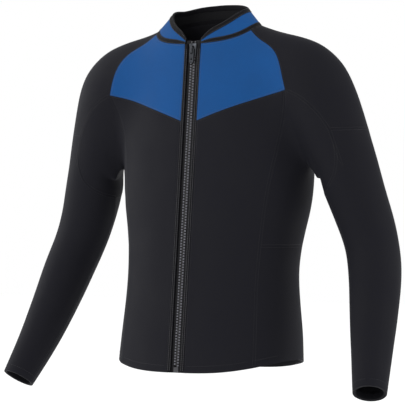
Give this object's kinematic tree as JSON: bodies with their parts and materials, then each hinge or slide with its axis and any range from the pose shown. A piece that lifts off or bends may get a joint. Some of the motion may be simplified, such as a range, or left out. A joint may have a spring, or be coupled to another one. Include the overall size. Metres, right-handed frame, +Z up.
{
  "type": "wetsuit jacket",
  "caption": "Long-sleeved neoprene wetsuit jacket: panelled foam body and sleeves, stand-up collar, full-length front zip with sliding slider and hinged pull tab.",
  "frame": {"origin": "on the body's middle plane at shoulder height, 600 mm above the front hem's level, where the wearer's or hanger's shoulders carry the jacket", "axes": "+Z up towards the collar, -Y out of the front with the zip, +X towards the wearer's left sleeve"},
  "size_m": [0.8104, 0.2482, 0.7033],
  "materials": {
    "black_neoprene": "matte stretch jersey bonded to 3 mm foam",
    "blue_neoprene": "matte blue stretch jersey bonded to 3 mm foam, black jersey inside",
    "black_binding": "matte stretch binding tape",
    "black_web": "woven polyester tape",
    "black_moulding": "moulded acetal with a slight sheen",
    "dark_cast_zinc": "die-cast zinc with a dark plated finish"
  },
  "bodies": {
    "jacket": {"chest_yoke_left": "blue_neoprene", "chest_yoke_right": "blue_neoprene", "collar": "blue_neoprene", "collar_binding": "black_binding", "cuff_turn_up_left": "black_web", "cuff_turn_up_right": "black_web", "front_panel_left": "black_neoprene", "front_panel_right": "black_neoprene", "hem_turn_up": "black_web", "insertion_pin": "black_moulding", "lower_back_panel": "black_neoprene", "neck_seam_tape": "black_binding", "retainer_box": "black_moulding", "shoulder_panel_left": "black_neoprene", "shoulder_panel_right": "black_neoprene", "side_panel_left": "black_neoprene", "side_panel_right": "black_neoprene", "sleeve_left": "black_neoprene", "sleeve_right": "black_neoprene", "underarm_panel_left": "black_neoprene", "underarm_panel_right": "black_neoprene", "upper_back_panel": "black_neoprene", "zip_backing_flap": "black_web", "zip_binding_left": "black_binding", "zip_binding_right": "black_binding", "zip_tape_left": "black_web", "zip_tape_right": "black_web", "zip_teeth_left": "black_moulding", "zip_teeth_right": "black_moulding", "zip_top_stop_left": "black_moulding", "zip_top_stop_right": "black_moulding"},
    "slider": {"slider_front_plate": "dark_cast_zinc", "slider_back_plate": "dark_cast_zinc", "slider_bridge": "dark_cast_zinc"},
    "pull": {"pull_tab": "dark_cast_zinc"}
  },
  "joints": [
    {"name": "zip_slide", "type": "slide", "parent": "jacket", "child": "slider", "axis": [0, -0.0963, -0.9954], "range_m": [0, 0.556]},
    {"name": "pull_hinge", "type": "hinge", "parent": "slider", "child": "pull", "pos_m": [0, -0.07236, -0.0198], "axis": [-1, 0, 0], "range_deg": [0, 175]}
  ]
}
